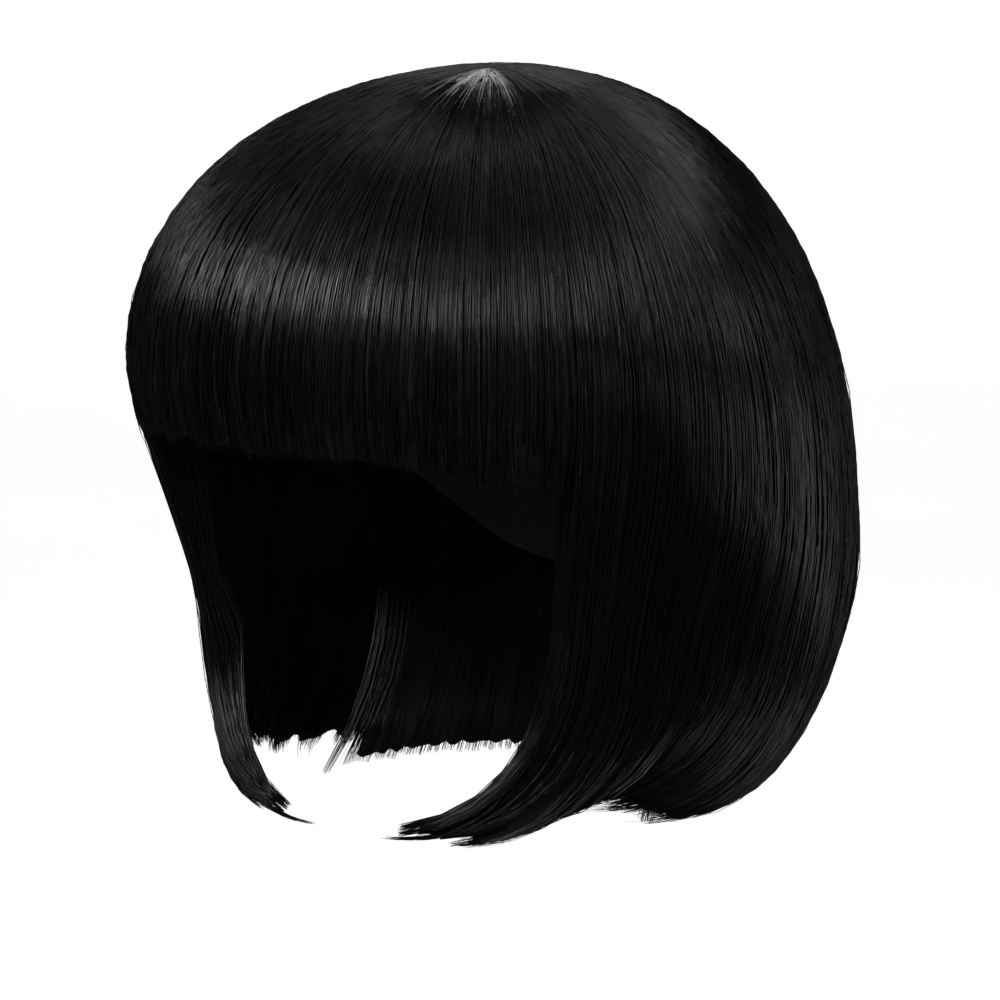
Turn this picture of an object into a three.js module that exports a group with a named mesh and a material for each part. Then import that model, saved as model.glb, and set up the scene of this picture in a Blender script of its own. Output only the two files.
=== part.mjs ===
// A bob wig with a full fringe, as it hangs on a head. Millimetres, +Z up.
// The wearer faces -Y, so +X is the wearer's left. The origin is inside the top of the cap,
// under the whorl from which all the hair radiates. Angles run round the Z axis from the front
// to the wearer's left.
import * as THREE from "three";

// The cap, inside
const CAP_HALF_WIDTH = 75;
const CAP_FRONT = 100; // from the origin to the forehead
const CAP_BACK = 86; // from the origin to the back of the head
const CAP_DOME = 84; // from the crown down to the head's widest level
const CAP_WALL = 1.6;
const FOREHEAD_EDGE = 46; // the cap's edge, below the crown
const EAR_EDGE = 104;
const NAPE_EDGE = 148;

// The hair, outside
const HAIR_HALF_WIDTH = 108;
const HAIR_FRONT = 121; // from the whorl to the front of the fringe
const HAIR_BACK = 123; // from the whorl to the back of the hair
const CROWN_LOFT = 19; // how far the hair stands above the cap at the crown
const FRINGE_DROP = 101.5; // from the top of the hair to the fringe's ends
const BOB_DROP = 225; // from the top of the hair to the bob's ends
const SWEEP = 36; // degrees that the front ends are swept forward
const CURTAIN_THICKNESS = 21; // of the hair where it leaves the cap
const CURTAIN_START = 6; // above the cap's edge, where the hair begins to leave the cap
const CURTAIN_FREE = 44; // below the cap's edge, where the hair hangs free of it
const FRINGE_THICKNESS = 15;
const END_THICKNESS = 3.4; // of a lock's end

// The whorl
const WHORL_RADIUS = 8;
const WHORL_DIMPLE = 1.5;

// The under-layer at the neck
const NAPE_THICKNESS = 5;
const NAPE_THIN = 0.45; // share of that at its top and at its ends
const NAPE_EASE = 0.28; // share of its length in which it thins towards each of them
const NAPE_GROOVE = 0.6; // between two of its locks
const NAPE_START = 108; // below the crown
const NAPE_DROP = 229; // from the top of the hair to its ends
const NAPE_MARGIN = 10; // millimetres or degrees in which the hair over it makes room

// The head below the cap
const JAW_DROP = 140; // below the crown, where free hair may begin to close in
const NECK_DROP = 190; // below the crown, where the head has narrowed to the neck

// The locks
const FRINGE_ANGLE = 48; // from the front to each end of the fringe
const SIDE_ANGLE = 110; // from the front to where the back begins
const NAPE_ANGLE = 116; // from the front to each end of the under-layer
const FRINGE_LOCKS = 9;
const SIDE_LOCKS = 6;
const BACK_LOCKS = 13;
const NAPE_LOCKS = 9;
const LOCK_CREST = 0.4; // share of a lock's width that stands at its full height
const LOCK_RIDGE = 1.8; // how far a lock stands above the grooves beside it
const RIDGE_FADE = 0.45; // share of the ridge that is lost on the way to the ends
const BOB_NOTCH = 7; // how far the grooves stop short of the locks' ends
const FRINGE_NOTCH = 2.4;
const UNEVEN_ENDS = 0.4; // how much one lock is longer than another, as a share of the notch
const UNEVEN_STEP = 2.7; // radians between one lock's length and the next on a sine wave

// Fits
const SEAM_GAP = 0.5; // between two pieces side by side
const SEAT_GAP = 0.7; // between the hair and the cap that it is sewn to

const HAIR_TOP = CAP_WALL + CROWN_LOFT;
const PLAN_SQUARENESS = 2.15; // exponent of the hair's plan
const HEAD_SQUARENESS = 2.1; // exponent of the head's plan and dome

// The hair's dome in each direction: its reach as a share of the plan, the exponent of its curve,
// and how far down it is widest as a share of BOB_DROP.
const DOME = [
  { at: 0, reach: 0.985, fullness: 2.05, widest: 0.34 },
  { at: 48, reach: 0.945, fullness: 2.1, widest: 0.385 },
  { at: 90, reach: 0.99, fullness: 2.15, widest: 0.54 },
  { at: 125, reach: 0.975, fullness: 2.22, widest: 0.64 },
  { at: 180, reach: 0.985, fullness: 2.25, widest: 0.62 },
];

// The ends in each direction: how far down as a share of the drop, two shares of the dome's reach
// that they lie further in, first where the hair hugs the cheek and then where it tucks under, how
// many degrees it turns to do so, and the share of SWEEP.
const FRINGE_ENDS = [
  { at: 0, drop: 1.0, hug: 0, tuck: 0.035, curl: 48, sweep: 0 },
  { at: 26, drop: 1.015, hug: 0, tuck: 0.04, curl: 46, sweep: 0 },
  { at: 48, drop: 1.105, hug: 0, tuck: 0.05, curl: 40, sweep: 0 },
];
const BOB_ENDS = [
  { at: 48, drop: 0.975, hug: 0.16, tuck: 0.1, curl: 84, sweep: 1.0 },
  { at: 62, drop: 0.985, hug: 0.15, tuck: 0.11, curl: 84, sweep: 0.93 },
  { at: 84, drop: 0.935, hug: 0.07, tuck: 0.22, curl: 86, sweep: 0.86 },
  { at: 106, drop: 0.985, hug: 0.01, tuck: 0.32, curl: 88, sweep: 0.8 },
  { at: 130, drop: 1.0, hug: 0, tuck: 0.38, curl: 88, sweep: 0.62 },
  { at: 155, drop: 1.0, hug: 0, tuck: 0.37, curl: 88, sweep: 0.3 },
  { at: 180, drop: 1.0, hug: 0, tuck: 0.37, curl: 88, sweep: 0 },
];
const SWEEP_START = 0.19; // share of the turn under before the sweep begins
const SWEEP_BEND = 1.5; // how late most of the sweep comes
const NAPE_BEND = 2.2; // the same in the under-layer
const HUG_END = 0.62; // share of the way down where the hair has closed on the cheek

// The head in each direction: the cap's edge, as a share of the way from EAR_EDGE to the named
// edge on that side, and how far the head narrows down to the neck as a share of its reach.
const HEAD = [
  { at: 0, edge: 1.0, taper: 0.0 },
  { at: 40, edge: 0.72, taper: 0.06 },
  { at: 70, edge: 0.02, taper: 0.2 },
  { at: 92, edge: 0.12, taper: 0.28 },
  { at: 118, edge: 0.22, taper: 0.33 },
  { at: 150, edge: 0.86, taper: 0.36 },
  { at: 180, edge: 1.0, taper: 0.36 },
];

// How far down the mesh is divided
const DOME_ROWS = 12;
const BOB_ROWS = 7;
const FRINGE_ROWS = 3;
const NAPE_ROWS = 8;
const CAP_ROWS = 10;
const CAP_ROW_BEND = 1.25; // above 1, so that the rows lie closer together at the crown
const CAP_COLUMNS = 44;
const WHORL_SIDES = 28;
const WHORL_ROWS = 4;

const { clamp, degToRad, lerp, smoothstep } = THREE.MathUtils;

// One column of a table at an angle, on a smooth curve through its rows, level at both ends.
function columnAt(table, name, angle) {
  const last = table.length - 1;
  const x = clamp(angle, table[0].at, table[last].at);
  let i = 0;
  while (i < last - 1 && x > table[i + 1].at) i++;
  const slope = (k) =>
    k === 0 || k === last
      ? 0
      : (table[k + 1][name] - table[k - 1][name]) / (table[k + 1].at - table[k - 1].at);
  const width = table[i + 1].at - table[i].at;
  const t = (x - table[i].at) / width;
  const rise = table[i + 1][name] - table[i][name];
  const bend = t * (1 - t) * ((1 - t) * (slope(i) * width - rise) + t * (rise - slope(i + 1) * width));
  return table[i][name] + t * rise + bend;
}

// An angle folded to 0 to 180, because the wig is the same on both sides.
function folded(angle) {
  return Math.abs(((((angle + 180) % 360) + 360) % 360) - 180);
}

// The radius of an oval with its own front and back.
function ovalRadius(angle, side, front, back, squareness) {
  const sine = Math.abs(Math.sin(degToRad(angle)));
  const cosine = Math.cos(degToRad(angle));
  const along = cosine > 0 ? front : back;
  return ((sine / side) ** squareness + (Math.abs(cosine) / along) ** squareness) ** (-1 / squareness);
}

function hairReach(angle) {
  const oval = ovalRadius(angle, HAIR_HALF_WIDTH, HAIR_FRONT, HAIR_BACK, PLAN_SQUARENESS);
  return oval * columnAt(DOME, "reach", folded(angle));
}

// How far below the crown the cap ends.
function capEdge(angle) {
  const share = columnAt(HEAD, "edge", folded(angle));
  return lerp(EAR_EDGE, folded(angle) < 80 ? FOREHEAD_EDGE : NAPE_EDGE, share);
}

// The head's radius at a height, with the cap's inside grown outwards by some millimetres.
function headRadius(angle, z, grown) {
  const reach = ovalRadius(angle, CAP_HALF_WIDTH, CAP_FRONT, CAP_BACK, HEAD_SQUARENESS) + grown;
  const below = -z - CAP_DOME;
  if (below <= 0) {
    const rise = Math.min(1, -below / (CAP_DOME + grown));
    return reach * (1 - rise ** HEAD_SQUARENESS) ** (1 / HEAD_SQUARENESS);
  }
  const taper = columnAt(HEAD, "taper", folded(angle));
  return reach * (1 - taper * smoothstep(below, 0, NECK_DROP - CAP_DOME));
}

// Radius and height as a point, for an angle.
function place(angle, radius, z) {
  const a = degToRad(angle);
  return new THREE.Vector3(radius * Math.sin(a), -radius * Math.cos(a), z);
}

// The stage at which the hair leaves the whorl.
function firstStage(angle) {
  const fullness = columnAt(DOME, "fullness", folded(angle));
  return Math.asin((WHORL_RADIUS / hairReach(angle)) ** (fullness / 2)) / (Math.PI / 2);
}

// The outer form of the hair, in one direction. Stage 0 to 1 runs from the whorl to the widest
// level, and 1 to 2 from there to the ends.
function hairPoint(angle, stage, ends, endDrop) {
  const a = folded(angle);
  const reach = hairReach(angle);
  const widest = columnAt(DOME, "widest", a) * BOB_DROP;
  if (stage <= 1) {
    const power = 2 / columnAt(DOME, "fullness", a);
    const turn = (stage * Math.PI) / 2;
    const radius = reach * Math.sin(turn) ** power;
    const drop = widest * (1 - Math.max(0, Math.cos(turn)) ** power);
    return place(angle, radius, HAIR_TOP - drop);
  }
  const curl = degToRad(columnAt(ends, "curl", a));
  const end = columnAt(ends, "drop", a) * endDrop;
  const turn = (stage - 1) * curl;
  const inward = (1 - Math.cos(turn)) / (1 - Math.cos(curl));
  const fall = Math.sin(turn) / Math.sin(curl);
  const hug = columnAt(ends, "hug", a) * smoothstep(fall, 0, HUG_END);
  const radius = reach * (1 - hug - columnAt(ends, "tuck", a) * inward);
  const drop = lerp(widest, end, fall);
  const swept = Math.max(0, (inward - SWEEP_START) / (1 - SWEEP_START));
  const sweep = SWEEP * columnAt(ends, "sweep", a) * swept ** SWEEP_BEND;
  const way = angle > 180 || angle < 0 ? 1 : -1;
  return place(angle + way * sweep, radius, HAIR_TOP - drop);
}

// The outward direction of the hair's outer form, and the one across its strands towards larger
// angles, from short steps along it and round it.
function hairDirections(angle, stage, ends, endDrop) {
  const step = 0.02;
  const down = stage + step / 2;
  const along = hairPoint(angle, down, ends, endDrop).sub(hairPoint(angle, down - step, ends, endDrop));
  const round = hairPoint(angle + 1, stage, ends, endDrop).sub(hairPoint(angle - 1, stage, ends, endDrop));
  const normal = along.clone().cross(round).normalize();
  return { normal, across: normal.clone().cross(along).normalize() };
}

// Angle and radius of a point, round the Z axis.
function angleOf(p) {
  return THREE.MathUtils.radToDeg(Math.atan2(p.x, -p.y));
}

// The radius that free hair stays outside of: the head's as far down as the jaw, and that of the
// under-layer round the neck.
function keepOut(angle, z) {
  const head = headRadius(angle, z, CAP_WALL + SEAT_GAP);
  const jaw = head * (1 - smoothstep(-z, JAW_DROP, NECK_DROP));
  const start = NAPE_START - NAPE_MARGIN;
  const end = NAPE_ANGLE - SWEEP;
  const round = smoothstep(folded(angle), end - NAPE_MARGIN, end);
  const under = smoothstep(-z, start - NAPE_MARGIN, start);
  return Math.max(jaw, (head + NAPE_THICKNESS + SEAM_GAP) * round * under);
}

// The hair's inner face behind an outer point: on the cap as far down as the cap reaches, and
// below it a curtain of its own thickness, clear of the under-layer.
function innerPoint(outer, normal, thickness) {
  const angle = angleOf(outer);
  const radius = Math.hypot(outer.x, outer.y);
  const grown = CAP_WALL + SEAT_GAP;
  const centre = -CAP_DOME;
  let seat;
  if (outer.z > centre) {
    const reach = headRadius(angle, centre, grown);
    const rise = CAP_DOME + grown;
    const n = HEAD_SQUARENESS;
    const share = ((radius / reach) ** n + ((outer.z - centre) / rise) ** n) ** (-1 / n);
    seat = place(angle, radius * share, centre + (outer.z - centre) * share);
  } else {
    seat = place(angle, headRadius(angle, outer.z, grown), outer.z);
  }
  const free = outer.clone().addScaledVector(normal, -thickness);
  const edge = capEdge(angle);
  const away = smoothstep(-seat.z, edge - CURTAIN_START, edge + CURTAIN_FREE);
  const inner = seat.lerp(free, away);
  const least = keepOut(angleOf(inner), inner.z) / Math.hypot(inner.x, inner.y);
  return least > 1 ? inner.multiply(new THREE.Vector3(least, least, 1)) : inner;
}

// A closed wall between two grids of points that have the same rows and columns.
function wallGeometry(outer, inner) {
  const rows = outer.length;
  const columns = outer[0].length;
  const positions = [...outer.flat(), ...inner.flat()].flatMap((p) => p.toArray());
  const faces = [];
  const quad = (a, b, c, d) => faces.push(a, b, c, a, c, d);
  const out = (i, j) => i * columns + j;
  const into = (i, j) => rows * columns + i * columns + j;
  for (let i = 0; i < rows - 1; i++) {
    for (let j = 0; j < columns - 1; j++) {
      quad(out(i, j), out(i + 1, j), out(i + 1, j + 1), out(i, j + 1));
      quad(into(i, j), into(i, j + 1), into(i + 1, j + 1), into(i + 1, j));
    }
    quad(out(i, 0), into(i, 0), into(i + 1, 0), out(i + 1, 0));
    quad(out(i, columns - 1), out(i + 1, columns - 1), into(i + 1, columns - 1), into(i, columns - 1));
  }
  for (let j = 0; j < columns - 1; j++) {
    quad(out(0, j), out(0, j + 1), into(0, j + 1), into(0, j));
    quad(out(rows - 1, j), into(rows - 1, j), into(rows - 1, j + 1), out(rows - 1, j + 1));
  }
  const geometry = new THREE.BufferGeometry();
  geometry.setAttribute("position", new THREE.Float32BufferAttribute(positions, 3));
  geometry.setIndex(faces);
  geometry.computeVertexNormals();
  return geometry;
}

// The columns of a stretch of locks: three to a lock, the first in the groove before it.
function lockColumns(from, to, locks) {
  const columns = [];
  const wide = (to - from) / locks;
  for (let k = 0; k < locks; k++) {
    columns.push({ angle: from + k * wide, crest: 0, lock: k });
    columns.push({ angle: from + (k + 0.5 - LOCK_CREST / 2) * wide, crest: 1, lock: k });
    columns.push({ angle: from + (k + 0.5 + LOCK_CREST / 2) * wide, crest: 1, lock: k });
  }
  columns.push({ angle: to, crest: 0, lock: locks });
  return columns;
}

// A small uneven length for each lock's end, from -1 to 1, the same on both sides.
function unevenness(k, locks) {
  const fromMiddle = Math.abs(2 * k + 1 - locks);
  return Math.sin(UNEVEN_STEP * (fromMiddle + 0.3));
}

// One stretch of hair: a wall whose outer face is raised into locks that end in points.
function hairGeometry({ from, to, locks, ends, endDrop, endRows, notch, thickness }) {
  const columns = lockColumns(from, to, locks);
  const outer = [];
  const inner = [];
  for (let row = 0; row <= DOME_ROWS + endRows; row++) {
    const outerRow = [];
    const innerRow = [];
    columns.forEach(({ angle, crest, lock }, j) => {
      const onDome = row <= DOME_ROWS;
      const short = notch * (1 - crest + UNEVEN_ENDS * unevenness(lock, locks) * crest);
      const hanging = endDrop - columnAt(DOME, "widest", folded(angle)) * BOB_DROP;
      const downEnd = ((row - DOME_ROWS) / endRows) * (1 - short / hanging);
      const stage = onDome ? lerp(firstStage(angle), 1, row / DOME_ROWS) : 1 + downEnd;
      const point = hairPoint(angle, stage, ends, endDrop);
      const { normal, across } = hairDirections(angle, stage, ends, endDrop);
      const down = Math.max(0, stage - 1);
      const wall = lerp(thickness, END_THICKNESS, down);
      const into = innerPoint(point, normal, wall);
      const growth = Math.min(1, stage) ** 1.5 * (1 - RIDGE_FADE * down);
      point.addScaledVector(normal, LOCK_RIDGE * crest * growth);
      const way = j === 0 ? 1 : j === columns.length - 1 ? -1 : 0;
      outerRow.push(point.addScaledVector(across, (way * SEAM_GAP) / 2));
      innerRow.push(into.addScaledVector(across, (way * SEAM_GAP) / 2));
    });
    outer.push(outerRow);
    inner.push(innerRow);
  }
  return wallGeometry(outer, inner);
}

// The under-layer: a thin wall of locks from the cap's lower edge to the ends at the neck.
function napeGeometry() {
  const columns = lockColumns(NAPE_ANGLE, 360 - NAPE_ANGLE, NAPE_LOCKS);
  const outer = [];
  const inner = [];
  for (let row = 0; row <= NAPE_ROWS; row++) {
    const share = row / NAPE_ROWS;
    const outerRow = [];
    const innerRow = [];
    columns.forEach(({ angle, crest, lock }) => {
      const short = BOB_NOTCH * (1 - crest - UNEVEN_ENDS * unevenness(lock, NAPE_LOCKS) * crest);
      const z = -lerp(NAPE_START, NAPE_DROP - HAIR_TOP - short, share);
      const sweep = SWEEP * columnAt(BOB_ENDS, "sweep", folded(angle)) * share ** NAPE_BEND;
      const at = angle + (angle > 180 ? sweep : -sweep);
      const seat = headRadius(at, z, CAP_WALL + SEAT_GAP);
      const full = smoothstep(share, 0, NAPE_EASE) * (1 - smoothstep(share, 1 - NAPE_EASE, 1));
      const groove = NAPE_GROOVE * (1 - crest);
      outerRow.push(place(at, seat + NAPE_THICKNESS * lerp(NAPE_THIN, 1, full) - groove, z));
      innerRow.push(place(at, seat, z));
    });
    outer.push(outerRow);
    inner.push(innerRow);
  }
  return wallGeometry(outer, inner);
}

// The cap: a thin wall over the head, open below, with an edge that rises over the forehead.
function capGeometry() {
  const positions = [];
  const layers = [CAP_WALL, 0];
  for (const grown of layers) {
    positions.push(0, 0, grown);
    for (let i = 1; i <= CAP_ROWS; i++) {
      for (let j = 0; j < CAP_COLUMNS; j++) {
        const angle = (j / CAP_COLUMNS) * 360;
        const turn = (i / CAP_ROWS) ** CAP_ROW_BEND * (Math.PI / 2);
        const z = i === CAP_ROWS ? -capEdge(angle) : grown - (capEdge(angle) + grown) * Math.sin(turn);
        positions.push(...place(angle, headRadius(angle, z, grown), z).toArray());
      }
    }
  }
  const faces = [];
  const layer = 1 + CAP_ROWS * CAP_COLUMNS;
  const at = (k, i, j) => k * layer + (i === 0 ? 0 : 1 + (i - 1) * CAP_COLUMNS + (j % CAP_COLUMNS));
  const face = (k, a, b, c) => (k === 0 ? faces.push(a, b, c) : faces.push(a, c, b));
  for (let k = 0; k < 2; k++) {
    for (let j = 0; j < CAP_COLUMNS; j++) {
      face(k, at(k, 0, 0), at(k, 1, j), at(k, 1, j + 1));
      for (let i = 1; i < CAP_ROWS; i++) {
        face(k, at(k, i, j), at(k, i + 1, j), at(k, i + 1, j + 1));
        face(k, at(k, i, j), at(k, i + 1, j + 1), at(k, i, j + 1));
      }
    }
  }
  for (let j = 0; j < CAP_COLUMNS; j++) {
    const [a, b] = [at(0, CAP_ROWS, j), at(0, CAP_ROWS, j + 1)];
    const [c, d] = [at(1, CAP_ROWS, j), at(1, CAP_ROWS, j + 1)];
    faces.push(a, c, d, a, d, b);
  }
  const geometry = new THREE.BufferGeometry();
  geometry.setAttribute("position", new THREE.Float32BufferAttribute(positions, 3));
  geometry.setIndex(faces);
  geometry.computeVertexNormals();
  return geometry;
}

// The whorl: a small plug from the cap up to the hair's surface, with a shallow dimple on top.
function whorlGeometry() {
  const rim = hairPoint(0, firstStage(0), FRINGE_ENDS, FRINGE_DROP);
  const foot = innerPoint(rim, new THREE.Vector3(0, 0, 1), 0);
  const radius = WHORL_RADIUS - SEAM_GAP;
  const profile = [
    new THREE.Vector2(0, CAP_WALL + SEAT_GAP),
    new THREE.Vector2(-foot.y - SEAM_GAP, CAP_WALL + SEAT_GAP),
  ];
  for (let i = 0; i <= WHORL_ROWS; i++) {
    const out = 1 - i / WHORL_ROWS;
    const dip = (WHORL_DIMPLE * (1 + Math.cos(Math.PI * out))) / 2;
    profile.push(new THREE.Vector2(radius * out, rim.z - dip));
  }
  return new THREE.LatheGeometry(profile, WHORL_SIDES).rotateX(Math.PI / 2);
}

const hairMaterial = new THREE.MeshStandardMaterial({ color: 0x0b0b0c, roughness: 0.38, metalness: 0 });
const capMaterial = new THREE.MeshStandardMaterial({ color: 0x121213, roughness: 0.85, metalness: 0 });
const whorlMaterial = new THREE.MeshStandardMaterial({ color: 0x2e2e30, roughness: 0.5, metalness: 0 });

const bob = {
  ends: BOB_ENDS,
  endDrop: BOB_DROP,
  endRows: BOB_ROWS,
  notch: BOB_NOTCH,
  thickness: CURTAIN_THICKNESS,
};
const left = { from: FRINGE_ANGLE, to: SIDE_ANGLE, locks: SIDE_LOCKS };
const right = { from: 360 - SIDE_ANGLE, to: 360 - FRINGE_ANGLE, locks: SIDE_LOCKS };
const back = { from: SIDE_ANGLE, to: 360 - SIDE_ANGLE, locks: BACK_LOCKS };
const pieces = {
  wig_cap: [capGeometry(), capMaterial],
  crown_whorl: [whorlGeometry(), whorlMaterial],
  fringe: [
    hairGeometry({
      from: -FRINGE_ANGLE,
      to: FRINGE_ANGLE,
      locks: FRINGE_LOCKS,
      ends: FRINGE_ENDS,
      endDrop: FRINGE_DROP,
      endRows: FRINGE_ROWS,
      notch: FRINGE_NOTCH,
      thickness: FRINGE_THICKNESS,
    }),
    hairMaterial,
  ],
  side_hair_left: [hairGeometry({ ...bob, ...left }), hairMaterial],
  side_hair_right: [hairGeometry({ ...bob, ...right }), hairMaterial],
  back_hair: [hairGeometry({ ...bob, ...back }), hairMaterial],
  nape_hair: [napeGeometry(), hairMaterial],
};

const wig = new THREE.Group();
for (const [name, [geometry, material]] of Object.entries(pieces)) {
  const mesh = new THREE.Mesh(geometry, material);
  mesh.name = name;
  wig.add(mesh);
}

export default wig;
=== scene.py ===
import math

import bpy
import numpy as np
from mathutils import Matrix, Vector


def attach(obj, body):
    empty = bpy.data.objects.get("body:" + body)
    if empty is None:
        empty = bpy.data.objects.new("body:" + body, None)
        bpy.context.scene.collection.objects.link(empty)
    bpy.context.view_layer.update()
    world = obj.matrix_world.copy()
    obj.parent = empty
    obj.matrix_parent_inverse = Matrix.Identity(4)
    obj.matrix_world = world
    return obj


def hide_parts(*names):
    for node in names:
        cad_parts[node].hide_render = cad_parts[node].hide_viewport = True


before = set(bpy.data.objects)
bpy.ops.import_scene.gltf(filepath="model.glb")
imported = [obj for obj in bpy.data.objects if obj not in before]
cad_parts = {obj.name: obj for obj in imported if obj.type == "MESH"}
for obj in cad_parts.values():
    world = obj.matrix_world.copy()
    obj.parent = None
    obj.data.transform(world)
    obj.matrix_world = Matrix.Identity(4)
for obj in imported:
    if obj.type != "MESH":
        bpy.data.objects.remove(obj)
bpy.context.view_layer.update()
MM = 0.001
FULL_TURN = 2 * math.pi

# The cap, inside
CAP_HALF_WIDTH = 75
CAP_FRONT = 100
CAP_BACK = 86
CAP_DOME = 84
CAP_WALL = 1.6
FOREHEAD_EDGE = 46
EAR_EDGE = 104
NAPE_EDGE = 148

# The hair, outside
HAIR_HALF_WIDTH = 108
HAIR_FRONT = 121
HAIR_BACK = 123
CROWN_LOFT = 19
FRINGE_DROP = 101.5
BOB_DROP = 225
SWEEP = 36
CURTAIN_THICKNESS = 21
CURTAIN_START = 6
CURTAIN_FREE = 44
FRINGE_THICKNESS = 15
END_THICKNESS = 3.4
HAIR_TOP = CAP_WALL + CROWN_LOFT
WHORL_RADIUS = 8
WHORL_DIMPLE = 1.5

# The under-layer at the neck
NAPE_THICKNESS = 5
NAPE_THIN = 0.45
NAPE_EASE = 0.28
NAPE_START = 108
NAPE_DROP = 229
NAPE_MARGIN = 10
JAW_DROP = 140
NECK_DROP = 190

# The stretches of hair and their locks
FRINGE_ANGLE = 48
SIDE_ANGLE = 110
NAPE_ANGLE = 116
FRINGE_LOCKS = 9
SIDE_LOCKS = 6
BACK_LOCKS = 13
LOCK_CREST = 0.4
LOCK_RIDGE = 1.8
RIDGE_FADE = 0.45
BOB_NOTCH = 7
FRINGE_NOTCH = 2.4
SEAM_GAP = 0.5
SEAT_GAP = 0.7
PLAN_SQUARENESS = 2.15
HEAD_SQUARENESS = 2.1
SWEEP_START = 0.19
SWEEP_BEND = 1.5
NAPE_BEND = 2.2
HUG_END = 0.62

DOME = {
    "at": [0, 48, 90, 125, 180],
    "reach": [0.985, 0.945, 0.99, 0.975, 0.985],
    "fullness": [2.05, 2.1, 2.15, 2.22, 2.25],
    "widest": [0.34, 0.385, 0.54, 0.64, 0.62],
}
FRINGE_ENDS = {
    "at": [0, 26, 48],
    "drop": [1.0, 1.015, 1.105],
    "hug": [0, 0, 0],
    "tuck": [0.035, 0.04, 0.05],
    "curl": [48, 46, 40],
    "sweep": [0, 0, 0],
}
BOB_ENDS = {
    "at": [48, 62, 84, 106, 130, 155, 180],
    "drop": [0.975, 0.985, 0.935, 0.985, 1.0, 1.0, 1.0],
    "hug": [0.16, 0.15, 0.07, 0.01, 0, 0, 0],
    "tuck": [0.1, 0.11, 0.22, 0.32, 0.38, 0.37, 0.37],
    "curl": [84, 84, 86, 88, 88, 88, 88],
    "sweep": [1.0, 0.93, 0.86, 0.8, 0.62, 0.3, 0],
}
HEAD = {
    "at": [0, 40, 70, 92, 118, 150, 180],
    "edge": [1.0, 0.72, 0.02, 0.12, 0.22, 0.86, 1.0],
    "taper": [0.0, 0.06, 0.2, 0.28, 0.33, 0.36, 0.36],
}


def smoothstep(x, low, high):
    t = np.clip((np.asarray(x, float) - low) / (high - low), 0, 1)
    return t * t * (3 - 2 * t)


def lerp(a, b, t):
    return a + (b - a) * t


def column_at(table, name, angle):
    """One column of a table at each angle, on a smooth curve that is level at both ends."""
    at = np.array(table["at"], float)
    value = np.array(table[name], float)
    slope = np.zeros(len(at))
    slope[1:-1] = (value[2:] - value[:-2]) / (at[2:] - at[:-2])
    x = np.clip(angle, at[0], at[-1])
    i = np.clip(np.searchsorted(at, x) - 1, 0, len(at) - 2)
    width = at[i + 1] - at[i]
    t = (x - at[i]) / width
    rise = value[i + 1] - value[i]
    bend = (1 - t) * (slope[i] * width - rise) + t * (rise - slope[i + 1] * width)
    return value[i] + t * rise + t * (1 - t) * bend


def folded(angle):
    return np.abs((np.asarray(angle, float) + 180) % 360 - 180)


def oval_radius(angle, side, front, back, squareness):
    a = np.radians(angle)
    along = np.where(np.cos(a) > 0, front, back)
    sine = np.abs(np.sin(a)) / side
    cosine = np.abs(np.cos(a)) / along
    return (sine**squareness + cosine**squareness) ** (-1 / squareness)


def hair_reach(angle):
    oval = oval_radius(angle, HAIR_HALF_WIDTH, HAIR_FRONT, HAIR_BACK, PLAN_SQUARENESS)
    return oval * column_at(DOME, "reach", folded(angle))


def cap_edge(angle):
    share = column_at(HEAD, "edge", folded(angle))
    return lerp(EAR_EDGE, np.where(folded(angle) < 80, FOREHEAD_EDGE, NAPE_EDGE), share)


def head_radius(angle, z, grown):
    oval = oval_radius(angle, CAP_HALF_WIDTH, CAP_FRONT, CAP_BACK, HEAD_SQUARENESS) + grown
    below = -np.asarray(z, float) - CAP_DOME
    rise = np.clip(-below / (CAP_DOME + grown), 0, 1)
    taper = column_at(HEAD, "taper", folded(angle)) * smoothstep(below, 0, NECK_DROP - CAP_DOME)
    dome = (1 - rise**HEAD_SQUARENESS) ** (1 / HEAD_SQUARENESS)
    return oval * np.where(below <= 0, dome, 1 - taper)


def place(angle, radius, z):
    a = np.radians(angle)
    return np.stack(np.broadcast_arrays(radius * np.sin(a), -radius * np.cos(a), z), -1)


def first_stage(angle, radius=WHORL_RADIUS):
    fullness = column_at(DOME, "fullness", folded(angle))
    return np.arcsin((radius / hair_reach(angle)) ** (fullness / 2)) / (math.pi / 2)


def hair_point(angle, stage, form):
    """The outer form of the hair: stage 0 at the whorl, 1 at the widest level and 2 at the ends."""
    a = folded(angle)
    ends = form["ends"]
    reach = hair_reach(angle)
    widest = column_at(DOME, "widest", a) * BOB_DROP
    power = 2 / column_at(DOME, "fullness", a)
    turn = np.clip(stage, 0, 1) * math.pi / 2
    over = reach * np.sin(turn) ** power
    sunk = widest * (1 - np.clip(np.cos(turn), 0, 1) ** power)
    curl = np.radians(column_at(ends, "curl", a))
    end = column_at(ends, "drop", a) * form["end_drop"]
    turn = np.maximum(stage - 1, 0) * curl
    inward = (1 - np.cos(turn)) / (1 - np.cos(curl))
    fall = np.sin(turn) / np.sin(curl)
    hug = column_at(ends, "hug", a) * smoothstep(fall, 0, HUG_END)
    under = reach * (1 - hug - column_at(ends, "tuck", a) * inward)
    swept = np.clip((inward - SWEEP_START) / (1 - SWEEP_START), 0, None)
    sweep = SWEEP * column_at(ends, "sweep", a) * swept**SWEEP_BEND
    way = np.where((angle > 180) | (angle < 0), 1, -1)
    on_dome = stage <= 1
    radius = np.where(on_dome, over, under)
    drop = np.where(on_dome, sunk, lerp(widest, end, fall))
    return place(angle + np.where(on_dome, 0, way * sweep), radius, HAIR_TOP - drop)


def unit(v):
    return v / np.maximum(np.linalg.norm(v, axis=-1, keepdims=True), 1e-9)


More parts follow.
